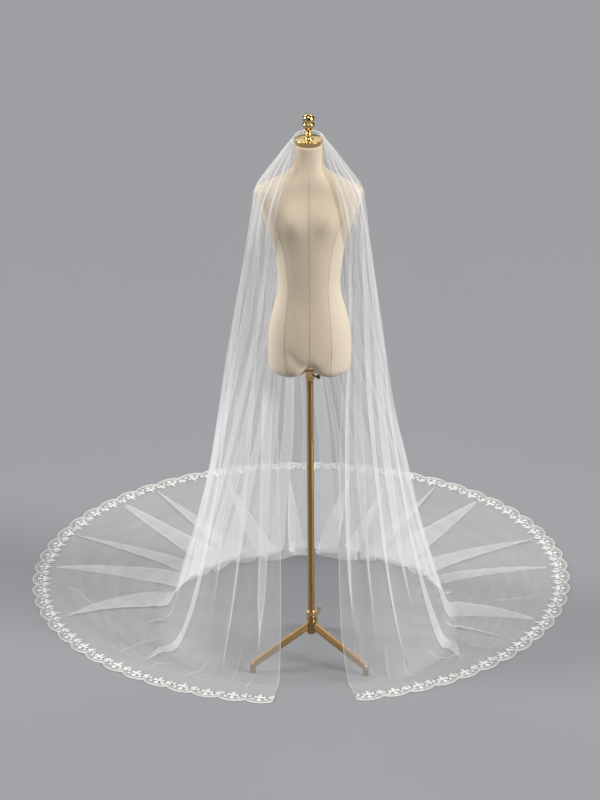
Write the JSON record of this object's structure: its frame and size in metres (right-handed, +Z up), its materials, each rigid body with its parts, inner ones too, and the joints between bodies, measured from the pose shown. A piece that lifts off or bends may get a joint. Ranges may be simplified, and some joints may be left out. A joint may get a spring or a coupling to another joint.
{
  "type": "bridal veil on dress form stand",
  "caption": "Long tulle veil with a scalloped lace hem, gathered at the neck cap of a limbless dress form on a gold tripod stand and spread in a round train.",
  "frame": {"origin": "on the floor at the middle of the round hem's bounding box; the pole rises at x 0.033, y -0.612", "axes": "+Z up; the veil opens at its front, towards -Y; +X to the right seen from the front"},
  "size_m": [1.8699, 1.8567, 1.9626],
  "materials": {
    "form_linen": "woven linen cover",
    "polished_gold": "polished gold plating",
    "dark_brass": "dark satin brass",
    "tulle": "fine soft tulle net",
    "gathered_tulle": "tulle gathered tight",
    "lace": "corded floral lace on net"
  },
  "bodies": {
    "veil_and_stand": {"form_torso": "form_linen", "neck_cap": "polished_gold", "finial": "polished_gold", "form_collar": "polished_gold", "pole": "polished_gold", "height_button": "polished_gold", "clamp_ring": "polished_gold", "tripod_hub": "polished_gold", "leg_1": "polished_gold", "leg_2": "polished_gold", "leg_3": "polished_gold", "lever_fork": "polished_gold", "tulle_crown": "tulle", "tulle_left_fall": "tulle", "tulle_back_fall": "tulle", "tulle_right_fall": "tulle", "train_left": "tulle", "train_back": "tulle", "train_right": "tulle", "gathered_heading": "gathered_tulle", "lace_left": "lace", "lace_back": "lace", "lace_right": "lace"},
    "lever": {"clamp_lever": "polished_gold"},
    "screw": {"thumb_screw": "dark_brass"}
  },
  "joints": [
    {"name": "lever_hinge", "type": "hinge", "parent": "veil_and_stand", "child": "lever", "pos_m": [0.0585, -0.612, 0.1755], "axis": [0, 1, 0], "range_deg": [0, 110]},
    {"name": "screw_turn", "type": "hinge", "parent": "veil_and_stand", "child": "screw", "pos_m": [0.04777, -0.61889, 1.047], "axis": [0.9063, -0.4226, 0], "continuous": true}
  ]
}
